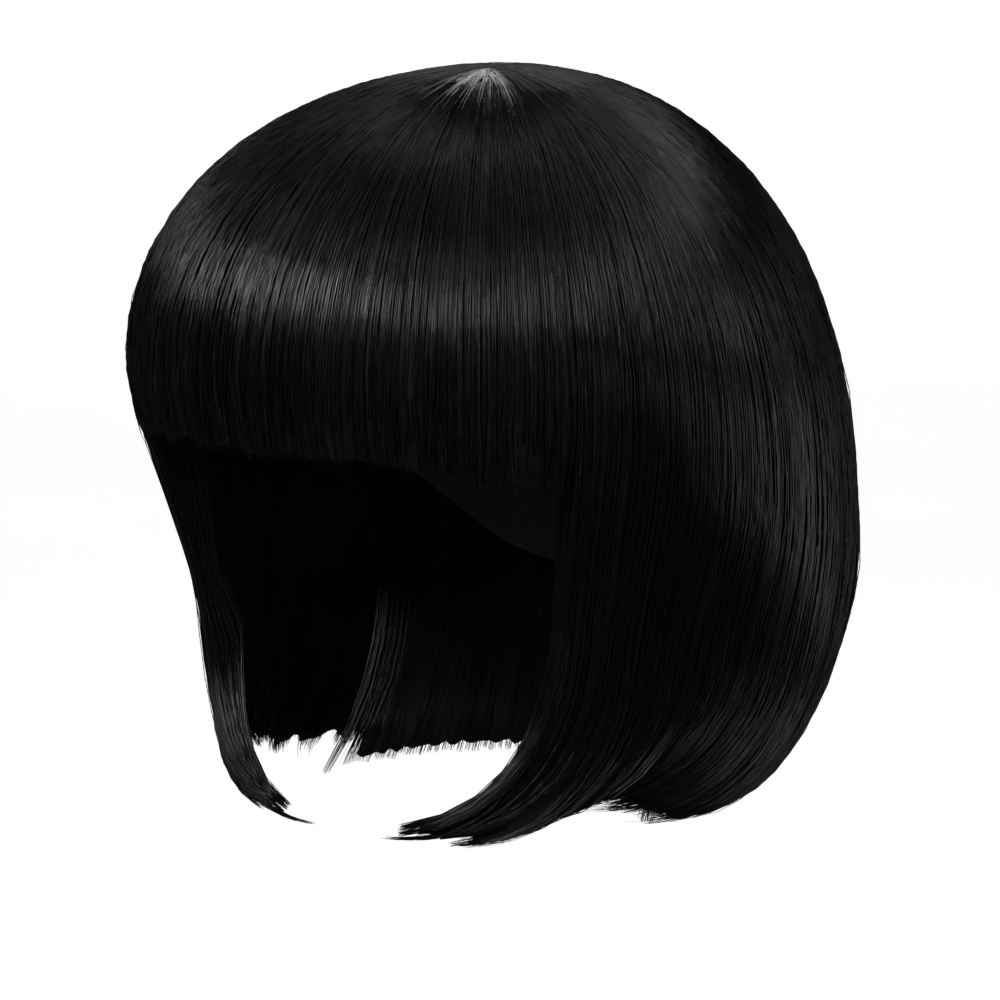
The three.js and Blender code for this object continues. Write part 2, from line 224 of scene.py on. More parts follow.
def hair_normal(angle, stage, form):
    step = 0.02
    along = hair_point(angle, stage + step / 2, form) - hair_point(angle, stage - step / 2, form)
    across = hair_point(angle + 1, stage, form) - hair_point(angle - 1, stage, form)
    return unit(np.cross(along, across))


def angle_of(p):
    return np.degrees(np.arctan2(p[..., 0], -p[..., 1]))


def keep_out(angle, z):
    head = head_radius(angle, z, CAP_WALL + SEAT_GAP)
    jaw = head * (1 - smoothstep(-z, JAW_DROP, NECK_DROP))
    start = NAPE_START - NAPE_MARGIN
    end = NAPE_ANGLE - SWEEP
    layer = smoothstep(folded(angle), end - NAPE_MARGIN, end)
    layer = layer * smoothstep(-z, start - NAPE_MARGIN, start)
    return np.maximum(jaw, (head + NAPE_THICKNESS + SEAM_GAP) * layer)


def inner_point(outer, normal, thickness):
    """The hair's inner face: on the cap as far as it reaches, and below it a wall's thickness in."""
    angle = angle_of(outer)
    radius = np.hypot(outer[..., 0], outer[..., 1])
    z = outer[..., 2]
    grown = CAP_WALL + SEAT_GAP
    centre = -CAP_DOME
    reach = head_radius(angle, np.full_like(z, centre), grown)
    above = np.maximum(z - centre, 0) / (CAP_DOME + grown)
    n = HEAD_SQUARENESS
    share = ((radius / reach) ** n + above**n) ** (-1 / n)
    on_dome = place(angle, radius * share, centre + (z - centre) * share)
    below = place(angle, head_radius(angle, z, grown), z)
    seat = np.where((z > centre)[..., None], on_dome, below)
    free = outer - normal * np.asarray(thickness)[..., None]
    edge = cap_edge(angle)
    away = smoothstep(-seat[..., 2] - edge, -CURTAIN_START, CURTAIN_FREE)[..., None]
    inner = lerp(seat, free, away)
    flat = np.hypot(inner[..., 0], inner[..., 1])
    least = np.maximum(keep_out(angle_of(inner), inner[..., 2]) / np.maximum(flat, 1e-6), 1)
    return inner * np.stack([least, least, np.ones_like(least)], -1)


def lock_share(angle, form):
    """Where an angle lies in the width of its lock, 0 to 1."""
    wide = (form["to"] - form["from"]) / form["locks"]
    return ((angle - form["from"]) / wide) % 1


def lock_middle(angle, form):
    """The middle direction of the lock in which an angle lies."""
    wide = (form["to"] - form["from"]) / form["locks"]
    return angle + (0.5 - lock_share(angle, form)) * wide


def lock_crest(angle, form):
    """How high the surface stands there in its lock, 0 in the groove and 1 on the crest."""
    x = lock_share(angle, form)
    slope = (1 - LOCK_CREST) / 2
    return smoothstep(x, 0, slope) * (1 - smoothstep(x, 1 - slope, 1))


def hair_wall(angle, stage, form):
    """Outer and inner point of the wall of hair, and the outward direction."""
    point = hair_point(angle, stage, form)
    normal = hair_normal(angle, stage, form)
    down = np.clip(stage - 1, 0, 1)
    inner = inner_point(point, normal, lerp(form["thickness"], END_THICKNESS, down))
    growth = np.clip(stage, 0, 1) ** 1.5 * (1 - RIDGE_FADE * down)
    ridge = LOCK_RIDGE * RIDGE_SHOWN * lock_crest(angle, form) * growth
    return point + normal * ridge[..., None], inner, normal


def end_stage(angle, form):
    """The stage at which the strands there end, earlier in the grooves between two locks."""
    hanging = column_at(form["ends"], "drop", folded(angle)) * form["end_drop"]
    hanging = hanging - column_at(DOME, "widest", folded(angle)) * BOB_DROP
    short = form["notch"] * NOTCH_SHOWN * (1 - lock_crest(angle, form))
    return 2 - short / hanging, hanging


RIDGE_SHOWN = 0.75  # share of the solids' ridges that the strands follow
NOTCH_SHOWN = 0.45  # share of the solids' notches that the strands follow

BOB = {"ends": BOB_ENDS, "end_drop": BOB_DROP, "notch": BOB_NOTCH, "thickness": CURTAIN_THICKNESS}
FORMS = {
    "fringe": {
        "from": -FRINGE_ANGLE,
        "to": FRINGE_ANGLE,
        "locks": FRINGE_LOCKS,
        "ends": FRINGE_ENDS,
        "end_drop": FRINGE_DROP,
        "notch": FRINGE_NOTCH,
        "thickness": FRINGE_THICKNESS,
    },
    "side_hair_left": {"from": FRINGE_ANGLE, "to": SIDE_ANGLE, "locks": SIDE_LOCKS, **BOB},
    "side_hair_right": {"from": 360 - SIDE_ANGLE, "to": 360 - FRINGE_ANGLE, "locks": SIDE_LOCKS, **BOB},
    "back_hair": {"from": SIDE_ANGLE, "to": 360 - SIDE_ANGLE, "locks": BACK_LOCKS, **BOB},
}


def faces_of(*corners):
    """Faces from one array of point numbers for each of their corners."""
    return np.stack(corners, -1).reshape(-1, len(corners))


def new_mesh(name, points, quads, triangles, values, material):
    """A mesh object from arrays: points in millimetres, faces, and named values at the points."""
    mesh = bpy.data.meshes.new(name)
    mesh.vertices.add(len(points))
    mesh.vertices.foreach_set("co", (points * MM).astype(np.float32).ravel())
    corners = np.concatenate([quads.ravel(), triangles.ravel()]).astype(np.int32)
    starts = [np.arange(len(quads)) * 4, len(quads) * 4 + np.arange(len(triangles)) * 3]
    starts = np.concatenate(starts)
    mesh.loops.add(len(corners))
    mesh.loops.foreach_set("vertex_index", corners)
    mesh.polygons.add(len(starts))
    mesh.polygons.foreach_set("loop_start", starts.astype(np.int32))
    mesh.update(calc_edges=True)
    mesh.polygons.foreach_set("use_smooth", np.ones(len(starts), dtype=bool))
    for key, value in values.items():
        kind = "FLOAT_VECTOR" if value.ndim == 2 else "FLOAT"
        attribute = mesh.attributes.new(key, kind, "POINT")
        field = "vector" if value.ndim == 2 else "value"
        attribute.data.foreach_set(field, value.astype(np.float32).ravel())
    mesh.validate()
    mesh.materials.append(material)
    made = bpy.data.objects.new(name, mesh)
    bpy.context.scene.collection.objects.link(made)
    return made


SIDES = 3  # sides of a strand


def tubes(paths, outward, radii, tone, root):
    """Closed three-sided strands along paths (strand, ring, xyz), as arrays for new_mesh."""
    strands, rings = paths.shape[:2]
    along = unit(np.gradient(paths, axis=1))
    side = unit(np.cross(along, outward))
    up = np.cross(side, along)
    corners = []
    for k in range(SIDES):
        turn = FULL_TURN * k / SIDES
        corners.append(paths + radii[..., None] * (up * math.cos(turn) + side * math.sin(turn)))
    points = np.stack(corners, 2).reshape(-1, 3)
    at = np.arange(strands * rings * SIDES).reshape(strands, rings, SIDES)
    quads = []
    for k in range(SIDES):
        n = (k + 1) % SIDES
        quads.append(faces_of(at[:, :-1, k], at[:, :-1, n], at[:, 1:, n], at[:, 1:, k]))
    caps = [at[:, 0, ::-1].reshape(-1, 3), at[:, -1, :].reshape(-1, 3)]
    values = {
        "tone": np.repeat(tone, rings * SIDES),
        "root": np.repeat(root.reshape(-1), SIDES),
    }
    return points, np.concatenate(quads), np.concatenate(caps), values


def join(parts):
    """Several sets of arrays for new_mesh as one."""
    points, quads, triangles, values = [], [], [], {}
    first = 0
    for p, q, t, v in parts:
        points.append(p)
        quads.append(q + first)
        triangles.append(t + first)
        for key in v:
            values.setdefault(key, []).append(v[key])
        first += len(p)
    return (
        np.concatenate(points),
        np.concatenate(quads),
        np.concatenate(triangles),
        {key: np.concatenate(v) for key, v in values.items()},
    )


STRAND_RADIUS = 0.185
STRAND_VARIES = (0.75, 1.2)
ROOT_SHARE = 0.5  # radius at a strand's root, as a share
ROOT_TAPER = 0.2  # share of its length in which a strand thickens
TIP_SHARE = 0.3  # radius at a strand's tip, as a share
TIP_TAPER = 0.86  # share of its length from which a strand thins
CLUMP_WIDTH = 3.4  # width of a bundle at the widest level
WISP_WIDTH = 1.2
BUNDLE_STRAYS = 0.6  # how far a bundle's middle strays, in bundles
STRAND_STRAYS = 0.12  # how far a strand strays from its bundle, in bundles


def strand_radii(rng, count, rings):
    t = np.linspace(0, 1, rings)
    taper = smoothstep(t, 0, ROOT_TAPER) * (1 - ROOT_SHARE) + ROOT_SHARE
    taper = taper * (1 - (1 - TIP_SHARE) * smoothstep(t, TIP_TAPER, 1))
    return STRAND_RADIUS * rng.uniform(*STRAND_VARIES, count)[:, None] * taper[None, :]


def wave(rng, count, size, slow=0.6, fast=1.6):
    """A random wave for each strand or bundle: amplitude, frequency and phase."""
    return rng.normal(0, size, count), rng.uniform(slow, fast, count), rng.uniform(0, FULL_TURN, count)


def waved(parameters, index, stage):
    size, rate, phase = (value[index][:, None] for value in parameters)
    return size * np.sin(FULL_TURN * rate * stage + phase)


def bundles(rng, first, last, width, share):
    """Bundles of strands of uneven widths: their number, each strand's own, and their middles."""
    reach = hair_reach((first + last) / 2)
    number = max(4, int(math.radians(last - first) * reach / width))
    even = (np.arange(number) + 0.5) / number
    middle = np.sort(np.clip(even + rng.normal(0, BUNDLE_STRAYS / number, number), 0, 1))
    borders = (middle[1:] + middle[:-1]) / 2
    strays = rng.normal(0, STRAND_STRAYS / number, len(share))
    return number, np.searchsorted(borders, share + strays), lerp(first, last, middle)


TIP_WIDTH = 14  # degrees of the foremost lock, which is drawn to a point
TIP_LONGER = 7
TIP_GATHER = 0.93
TIP_FROM = 1.45  # stage at which it begins to gather
TIP_SUNK = 0.75
SEAM_WIDTH = (3, 14)  # degrees from the seam of side and back where the ends are most uneven
SEAM_CUT = 2.5
LONG_VARIES = (0.2, 1)
START_RADIUS = (5.5, 8.5)  # of the strands' roots round the whorl
RING_SHIFT = (0.15, 0.85)  # the rings are shifted along a strand between these shares of it
DRIFT_WAVE = 0.1
CLUMP_PULL = (0.15, 0.7)
WISP_PULL = (0.0, 0.4)
WISP_RATES = (1.2, 3.2)  # waves in one stage
FUZZ_RATES = (1.5, 4)
LOOSE_LIFT = (0.4, 1.6)
LOOSE_FROM = (0.9, 1.4)
LEAST_DEPTH = 0.3  # how far the topmost strands lie below the form
DEEPEST = 0.9  # share of the wall in which the outer strands lie
ROOT_TUCK = 1.6  # how far the roots dip below the surface beside the whorl
ROOT_DIP = 0.12  # stages over which they come up


def outer_ends(rng, angle, form, spread, clumps, clump):
    """The stage at which each strand ends, and its share in the foremost lock."""
    count = len(angle)
    ends, hanging = end_stage(angle, form)
    seam = 1 - smoothstep(np.abs(folded(angle) - SIDE_ANGLE), *SEAM_WIDTH)
    cut = rng.normal(0, spread["clump_cut"], clumps)[clump]
    cut = cut + rng.exponential(spread["cut"], count) * (1 + SEAM_CUT * seam)
    is_long = rng.uniform(0, 1, clumps) < spread["long_share"]
    long = np.where(is_long, rng.uniform(*LONG_VARIES, clumps), 0)[clump]
    cut = cut - long * spread["long"] * rng.uniform(0, 1, count) ** 2
    from_front = np.abs(folded(angle) - FRINGE_ANGLE)
    front = 1 - smoothstep(from_front, TIP_WIDTH * 0.6, TIP_WIDTH * 1.3)
    front = front * spread["tip"]
    cut = cut - front * rng.uniform(0, TIP_LONGER, count)
    return ends - (cut - spread["cut"] * 0.6) / hanging, front


def outer_strands(form, first, last, count, rings, rng, spread):
    """Strands in the outer layers of a stretch of hair, from the whorl to the ends."""
    each = np.arange(count)
    share = (each + rng.uniform(0, 1, count)) / count
    angle = lerp(first, last, share)
    clumps, clump, clump_middle = bundles(rng, first, last, CLUMP_WIDTH, share)
    wisps, wisp, wisp_middle = bundles(rng, first, last, WISP_WIDTH, share)
    steps = np.linspace(0, 1, rings)[None, :]
    shift = rng.uniform(-0.5, 0.5, (count, 1)) / (rings - 1)
    shifted = smoothstep(steps, 0, RING_SHIFT[0]) * (1 - smoothstep(steps, RING_SHIFT[1], 1))
    t = steps + shift * shifted
    ends, front = outer_ends(rng, angle, form, spread, clumps, clump)
    start = first_stage(angle, rng.uniform(*START_RADIUS, count))
    stage = lerp(start[:, None], ends[:, None], t)

    # Across the hair: each strand drifts, and is drawn to its wisp, its clump and its lock
    drift = rng.normal(0, spread["drift"], count)[:, None] * t**1.5
    drift = drift + waved(wave(rng, count, DRIFT_WAVE), each, stage) * smoothstep(stage, 0.1, 0.8)
    drift = drift / np.maximum(np.radians(hair_reach(angle)), 1)[:, None]
    gather = (rng.uniform(*CLUMP_PULL, clumps) * spread["pull"])[clump][:, None]
    gather = gather * smoothstep(stage, spread["pull_from"], 2)
    together = rng.uniform(*WISP_PULL, wisps)[wisp][:, None] * smoothstep(stage, 0.1, 0.5)
    a = angle[:, None] + (wisp_middle[wisp] - angle)[:, None] * together
    a = a + drift + (clump_middle[clump][:, None] - a) * gather
    point = spread["point"] * rng.uniform(0.4, 1, count)
    point = point + (1 - point) * front * TIP_GATHER
    late = smoothstep(stage, TIP_FROM, 2.02) ** 1.5
    a = a + (lock_middle(angle, form)[:, None] - a) * point[:, None] * late

    # Into the hair: each strand has its depth, and its wisp and clump rise and sink
    outer, inner, normal = hair_wall(a, stage, form)
    wall = np.linalg.norm(outer - inner, axis=-1)
    down = np.clip(stage - 1, 0, 1)
    deep = lerp(spread["top"], spread["deep"], smoothstep(stage, 0.1, 1.2))
    deep = np.minimum(lerp(deep, wall * DEEPEST, down**2), wall * DEEPEST)
    own = waved(wave(rng, wisps, spread["wisp"], *WISP_RATES), wisp, stage)
    own = own + waved(wave(rng, count, spread["fuzz"], *FUZZ_RATES), each, stage)
    own = own * (0.5 + 0.5 * smoothstep(stage, 0.05, 0.5))
    lift = waved(wave(rng, clumps, spread["lump"]), clump, stage) * smoothstep(stage, 0.12, 0.5) + own
    is_loose = rng.uniform(0, 1, count) < spread["loose"]
    loose = np.where(is_loose, rng.uniform(*LOOSE_LIFT, count), 0)
    lift = lift + loose[:, None] * smoothstep(stage, rng.uniform(*LOOSE_FROM, (count, 1)), 2)
    depth = rng.uniform(0, 1, count)[:, None] ** 1.3
    tuck = ROOT_TUCK * (1 - smoothstep(stage - start[:, None], 0, ROOT_DIP))
    sunk = depth * deep + LEAST_DEPTH - lift + tuck
    sunk = lerp(sunk, 1.0, front[:, None] * TIP_SUNK * late)
    path = outer - normal * sunk[..., None]

    tone = rng.uniform(0, 0.4, count)
    tone = tone + rng.uniform(0, 0.3, clumps)[clump] + rng.uniform(0, 0.3, wisps)[wisp]
    # Roots near the whorl are painted paler: partly their own colour, partly a painted highlight
    radius = np.hypot(path[..., 0], path[..., 1])
    root = 1 - smoothstep(radius, ROOT_PALE_AND_HIGHLIGHT, spread["root_pale_and_highlight_to"])
    root = root * rng.uniform(0.2, 1, count)[:, None]
    return tubes(path, normal, strand_radii(rng, count, rings), tone, root)


ROOT_PALE_AND_HIGHLIGHT = 9  # radius up to which the strands' roots are palest, partly their own colour and partly painted highlight
INNER_CUT = 3.5
INNER_ABOVE = 8  # how far above the cap's edge the inner strands begin
INNER_DRIFT = 0.8
INNER_WAVE = 0.3
INNER_LEAST = 0.25
INNER_DEEP = 0.8
INNER_THICKER = 1.15


def inner_strands(form, first, last, count, rings, rng):
    """Strands on the inner face of a stretch of hair, from the cap's edge to the ends."""
    angle = lerp(first, last, (np.arange(count) + rng.uniform(0, 1, count)) / count)
    ends, hanging = end_stage(angle, form)
    ends = ends - rng.uniform(0, INNER_CUT, count) / hanging
    top = HAIR_TOP - column_at(DOME, "widest", folded(angle)) * BOB_DROP
    start = np.clip(1 + (cap_edge(angle) - INNER_ABOVE + top) / hanging, 0.55, 1.7)
    start = start + rng.uniform(-0.05, 0.02, count)
    t = np.linspace(0, 1, rings)[None, :]
    stage = lerp(start[:, None], ends[:, None], t)
    drift = rng.normal(0, INNER_DRIFT, count)[:, None] * t
    inner, normal = hair_wall(angle[:, None] + drift, stage, form)[1:]
    share = rng.uniform(0.0, 0.9, count)[:, None]
    path = inner + normal * (INNER_LEAST + share * INNER_DEEP)[..., None]
    own = waved(wave(rng, count, INNER_WAVE), np.arange(count), stage)
    path = path + normal * own[..., None]
    tone = rng.uniform(0, 1, count)
    radii = strand_radii(rng, count, rings) * INNER_THICKER
    return tubes(path, -normal, radii, tone, np.zeros((count, rings)))


EDGE_STEP = 1.5  # degrees by which the mass stands back from a free edge
EDGE_CUT = 2.5
EDGE_WAVE = 0.02
EDGE_TURN = 1.2  # radians by which an edge strand's outward side turns


def edge_strands(form, at, inward, count, rings, rng, top):
    """Strands that cover the edge of a wall of hair, from its outer to its inner face."""
    angle = at + inward * rng.uniform(0, EDGE_STEP, count)
    ends, hanging = end_stage(angle, form)
    ends = ends - rng.exponential(EDGE_CUT, count) / hanging
    start = top + rng.uniform(-0.06, 0, count)
    stage = lerp(start[:, None], ends[:, None], np.linspace(0, 1, rings)[None, :])
    outer, inner, normal = hair_wall(angle[:, None] + np.zeros_like(stage), stage, form)
    own = waved(wave(rng, count, EDGE_WAVE, 1, 3), np.arange(count), stage)
    deep = np.clip(rng.uniform(0.02, 0.98, count)[:, None] + own, 0.01, 0.99)
    path = lerp(outer, inner, deep[..., None])
    side = unit(np.cross(normal, np.array([0.0, 0.0, 1.0]))) * inward
    turn = rng.uniform(-EDGE_TURN, EDGE_TURN, count)[:, None, None]
    side = side * np.cos(turn) + normal * np.sin(turn)
    tone = rng.uniform(0, 1, count)
    return tubes(path, side, strand_radii(rng, count, rings), tone, np.zeros((count, rings)))


MASS_ROWS = 46
MASS_COLUMN = 1.4  # degrees
MASS_RAGGED = 0.012
MASS_THIN = 0.04  # how far its inner face stands off the hair's, as a share


def base_shell(form, first, last, inset, last_share, steps):
    """A closed dark wall behind the outer strands, from the whorl nearly to the ends."""
    columns = max(12, int((last - first) / MASS_COLUMN))
    t = np.linspace(0, 1, MASS_ROWS)[:, None]
    back = EDGE_STEP * smoothstep(t, 0.36, 0.5)
    angle = lerp(first + back * steps[0], last - back * steps[1], np.linspace(0, 1, columns)[None, :])
    ends = end_stage(angle, form)[0]
    ragged = MASS_RAGGED * np.sin(angle * 3.1) + MASS_RAGGED * np.sin(angle * 7.3 + 1)
    stage = lerp(first_stage(angle), 1 + (ends - 1) * (last_share + ragged), t)
    outer, inner, normal = hair_wall(angle, stage, form)
    wall = np.linalg.norm(outer - inner, axis=-1)
    outer = outer - normal * np.minimum(inset, wall * 0.45)[..., None]
    inner = lerp(inner, outer, MASS_THIN)
    arc = np.radians(angle - first) * hair_reach(angle)
    return wall_mesh(outer, inner, arc, length_down(outer))


def length_down(grid):
    """The length from a grid's first row to each of its points."""
    steps = np.diff(grid, axis=0, prepend=grid[:1])
    return np.cumsum(np.linalg.norm(steps, axis=-1), axis=0)


def wall_mesh(outer, inner, arc, drop):
    """A closed wall between two grids with the same rows and columns, as arrays for new_mesh."""
    rows, columns = outer.shape[:2]
    points = np.concatenate([outer.reshape(-1, 3), inner.reshape(-1, 3)])
    out = np.arange(rows * columns).reshape(rows, columns)
    into = out + rows * columns
    quads = [
        faces_of(out[:-1, :-1], out[1:, :-1], out[1:, 1:], out[:-1, 1:]),
        faces_of(into[:-1, :-1], into[:-1, 1:], into[1:, 1:], into[1:, :-1]),
        faces_of(out[:-1, 0], into[:-1, 0], into[1:, 0], out[1:, 0]),
        faces_of(out[:-1, -1], out[1:, -1], into[1:, -1], into[:-1, -1]),
        faces_of(out[0, :-1], out[0, 1:], into[0, 1:], into[0, :-1]),
        faces_of(out[-1, :-1], into[-1, :-1], into[-1, 1:], out[-1, 1:]),
    ]
    strand = np.stack([arc, drop, np.zeros_like(arc)], -1).reshape(-1, 3)
    values = {"strand": np.concatenate([strand, strand])}
    return points, np.concatenate(quads), np.zeros((0, 3), int), values


def new_material(name):
    """A material with its main shader, and its nodes and links."""
    material = bpy.data.materials.new(name)
    material.use_nodes = True
    tree = material.node_tree
    return material, tree.nodes["Principled BSDF"], tree.nodes, tree.links


def attribute_node(nodes, name):
    node = nodes.new("ShaderNodeAttribute")
    node.attribute_name = name
    return node


def noise_node(nodes, scale, **inputs):
    node = nodes.new("ShaderNodeTexNoise")
    node.inputs["Scale"].default_value = scale
    for key, value in inputs.items():
        node.inputs[key].default_value = value
    return node


def ramp_node(nodes, dark, light, dark_at=0, light_at=1):
    """A ramp between two colours, which starts and ends at the two places."""
    node = nodes.new("ShaderNodeValToRGB")
    for element, colour, at in zip(node.color_ramp.elements, (dark, light), (dark_at, light_at)):
        element.position = at
        element.color = (*colour, 1)
    return node


def range_node(nodes, low, high):
    node = nodes.new("ShaderNodeMapRange")
    node.inputs["To Min"].default_value = low
    node.inputs["To Max"].default_value = high
    return node


def math_node(nodes, operation, second=None):
    node = nodes.new("ShaderNodeMath")
    node.operation = operation
    if second is not None:
        node.inputs[1].default_value = second
    return node


def add_bump(nodes, links, shader, height, strength, distance):
    node = nodes.new("ShaderNodeBump")
    node.inputs["Strength"].default_value = strength
    node.inputs["Distance"].default_value = distance
    links.new(height, node.inputs["Height"])
    links.new(node.outputs["Normal"], shader.inputs["Normal"])


def strand_material(name, dark, light, pale_root_and_highlight_colour, gloss):
    """Glossy synthetic hair: each strand has its own tone, and the roots are paler, partly in their own
    colour and partly as a painted highlight.
    """
    material, shader, nodes, links = new_material(name)
    tone = attribute_node(nodes, "tone")
    root = attribute_node(nodes, "root")
    ramp = ramp_node(nodes, dark, light)
    links.new(tone.outputs["Fac"], ramp.inputs["Fac"])
    # Paler roots: partly their own colour, partly a painted highlight
    mix = nodes.new("ShaderNodeMix")
    mix.data_type = "RGBA"
    factor, first, second, mixed = mix.inputs[0], mix.inputs[6], mix.inputs[7], mix.outputs[2]
    second.default_value = (*pale_root_and_highlight_colour, 1)
    links.new(root.outputs["Fac"], factor)
    links.new(ramp.outputs["Color"], first)
    links.new(mixed, shader.inputs["Base Color"])

    # Roughness: half from the strand's tone and half from a fine grain
    place_node = nodes.new("ShaderNodeTexCoord")
    noise = noise_node(nodes, 420, Detail=3)
    links.new(place_node.outputs["Object"], noise.inputs["Vector"])
    half = math_node(nodes, "MULTIPLY", 0.5)
    links.new(tone.outputs["Fac"], half.inputs[0])
    blend = math_node(nodes, "MULTIPLY_ADD", 0.5)
    links.new(noise.outputs["Fac"], blend.inputs[0])
    links.new(half.outputs[0], blend.inputs[2])
    rough = range_node(nodes, *gloss)
    links.new(blend.outputs[0], rough.inputs["Value"])
    links.new(rough.outputs["Result"], shader.inputs["Roughness"])
    add_bump(nodes, links, shader, noise.outputs["Fac"], 0.15, 0.00005)
    shader.inputs["Specular IOR Level"].default_value = 0.2
    return material


def base_material(name, dark, light):
    """The mass of hair behind the outer strands: fine streaks along it."""
    material, shader, nodes, links = new_material(name)
    strand = attribute_node(nodes, "strand")
    stretch = nodes.new("ShaderNodeMapping")
    stretch.inputs["Scale"].default_value = (2.4, 0.05, 1)
    links.new(strand.outputs["Vector"], stretch.inputs["Vector"])
    noise = noise_node(nodes, 1.0, Detail=5, Roughness=0.65)
    links.new(stretch.outputs["Vector"], noise.inputs["Vector"])
    ramp = ramp_node(nodes, dark, light, 0.35, 0.7)
    links.new(noise.outputs["Fac"], ramp.inputs["Fac"])
    links.new(ramp.outputs["Color"], shader.inputs["Base Color"])
    rough = range_node(nodes, 0.5, 0.75)
    links.new(noise.outputs["Fac"], rough.inputs["Value"])
    links.new(rough.outputs["Result"], shader.inputs["Roughness"])
    add_bump(nodes, links, shader, noise.outputs["Fac"], 0.8, 0.0004)
    shader.inputs["Specular IOR Level"].default_value = 0.12
    return material


def net_material(name):
    """The cap's knitted net: two crossing sets of threads."""
    material, shader, nodes, links = new_material(name)
    strand = attribute_node(nodes, "strand")
    threads = math_node(nodes, "MAXIMUM")
    for k, slant in enumerate((0.7, -0.7)):
        mapping = nodes.new("ShaderNodeMapping")
        mapping.inputs["Rotation"].default_value = (0, 0, slant)
        links.new(strand.outputs["Vector"], mapping.inputs["Vector"])
        thread = nodes.new("ShaderNodeTexWave")
        thread.inputs["Scale"].default_value = 0.42
        thread.inputs["Distortion"].default_value = 0.6
        thread.inputs["Detail"].default_value = 1
        links.new(mapping.outputs["Vector"], thread.inputs["Vector"])
        links.new(thread.outputs["Fac"], threads.inputs[k])
    ramp = ramp_node(nodes, (0.003, 0.003, 0.0035), (0.014, 0.014, 0.015), 0.45, 0.9)
    links.new(threads.outputs[0], ramp.inputs["Fac"])
    links.new(ramp.outputs["Color"], shader.inputs["Base Color"])
    add_bump(nodes, links, shader, threads.outputs[0], 0.9, 0.0005)
    shader.inputs["Roughness"].default_value = 0.8
    shader.inputs["Specular IOR Level"].default_value = 0.3
    return material


def floor_material():
    """Pale paper that is lit all over."""
    material, shader, nodes, links = new_material("floor_paper")
    place_node = nodes.new("ShaderNodeTexCoord")
    noise = noise_node(nodes, 3)
    links.new(place_node.outputs["Object"], noise.inputs["Vector"])
    ramp = ramp_node(nodes, (0.86, 0.86, 0.86), (0.9, 0.9, 0.9))
    links.new(noise.outputs["Fac"], ramp.inputs["Fac"])
    links.new(ramp.outputs["Color"], shader.inputs["Base Color"])
    shader.inputs["Roughness"].default_value = 0.9
    links.new(ramp.outputs["Color"], shader.inputs["Emission Color"])
    shader.inputs["Emission Strength"].default_value = 0.86
    return material


HAIR = strand_material(
    "black_hair",
    dark=(0.0006, 0.0006, 0.0007),
    light=(0.0026, 0.0025, 0.0027),
    # paler roots near the whorl: partly their own colour, partly a painted highlight
    pale_root_and_highlight_colour=(0.02, 0.02, 0.02),
    gloss=(0.12, 0.36),
)
ROOTS = strand_material(
    "whorl_roots",
    dark=(0.0008, 0.0008, 0.0009),
    light=(0.004, 0.004, 0.0043),
    # pale colour of the roots round the whorl: mostly a painted highlight
    pale_root_and_highlight_colour=(0.46, 0.46, 0.46),
    gloss=(0.3, 0.5),
)
BASE = base_material("hair_mass", (0.0005, 0.0005, 0.0006), (0.0022, 0.0022, 0.0024))
WHORL = base_material("whorl_skin", (0.003, 0.003, 0.003), (0.04, 0.04, 0.04))
NET = net_material("cap_net")

# How the strands of a stretch lie, in millimetres unless a line says otherwise
SPREAD = {
    "pull": 0.9,  # how strongly clumps gather, as a share
    "pull_from": 1.25,  # stage from which they do
    "cut": 1.4,  # unevenness of the ends
    "clump_cut": 0.9,
    "drift": 0.9,  # how far a strand strays sideways by its end
    "top": 0.8,  # depth of the outer layers near the whorl
    "deep": 2.8,  # their depth lower down
    "lump": 0.2,  # how far clumps, wisps and single strands rise and sink
    "wisp": 0.26,
    "fuzz": 0.13,
    "loose": 0.025,  # share of loose strands
    "root_pale_and_highlight_to": 34,  # radius at which the pale roots and their painted highlight end
    "point": 0.45,  # how far a lock's end gathers, as a share
    "tip": 1,  # 1 where the foremost lock is drawn to a point, 0 where not
    "long": 11,  # how much longer some strands are
    "long_share": 0.35,  # share of the clumps that have such strands
}
FRINGE_SPREAD = {
    **SPREAD,
    "cut": 0.7,
    "clump_cut": 0.5,
    "pull": 0.8,
    "pull_from": 1.1,
    "drift": 0.5,
    "point": 0.12,
    "long": 3,
    "tip": 0,
}
EDGE_STRANDS = 150
EDGE_RINGS = 13
EDGE_TOP = 0.95  # stage at which the edge strands begin
INNER_RINGS = 11
MASS_INSET = 1.7
MASS_END = 0.94  # share of the hanging hair that the mass fills


def dress(name, form, first, last, count, inner_count, rings, seed, spread):
    """All the strands of a stretch of hair as one piece."""
    rng = np.random.default_rng(seed)
    parts = [outer_strands(form, first, last, count, rings, rng, spread)]
    parts.append(inner_strands(form, first, last, inner_count, INNER_RINGS, rng))
    if name.startswith("side_hair"):
        front, inward = (first, 1) if first == FRINGE_ANGLE else (last, -1)
        parts.append(edge_strands(form, front, inward, EDGE_STRANDS, EDGE_RINGS, rng, EDGE_TOP))
    return new_mesh(name, *join(parts), HAIR)


def base(name, form, first, last):
    """The mass of a stretch of hair, set back at a free front edge."""
    steps = (name.startswith("side_hair_left"), name.startswith("side_hair_right"))
    return new_mesh(name, *base_shell(form, first, last, MASS_INSET, MASS_END, steps), BASE)


def riding(piece):
    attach(piece, "root")
    return piece


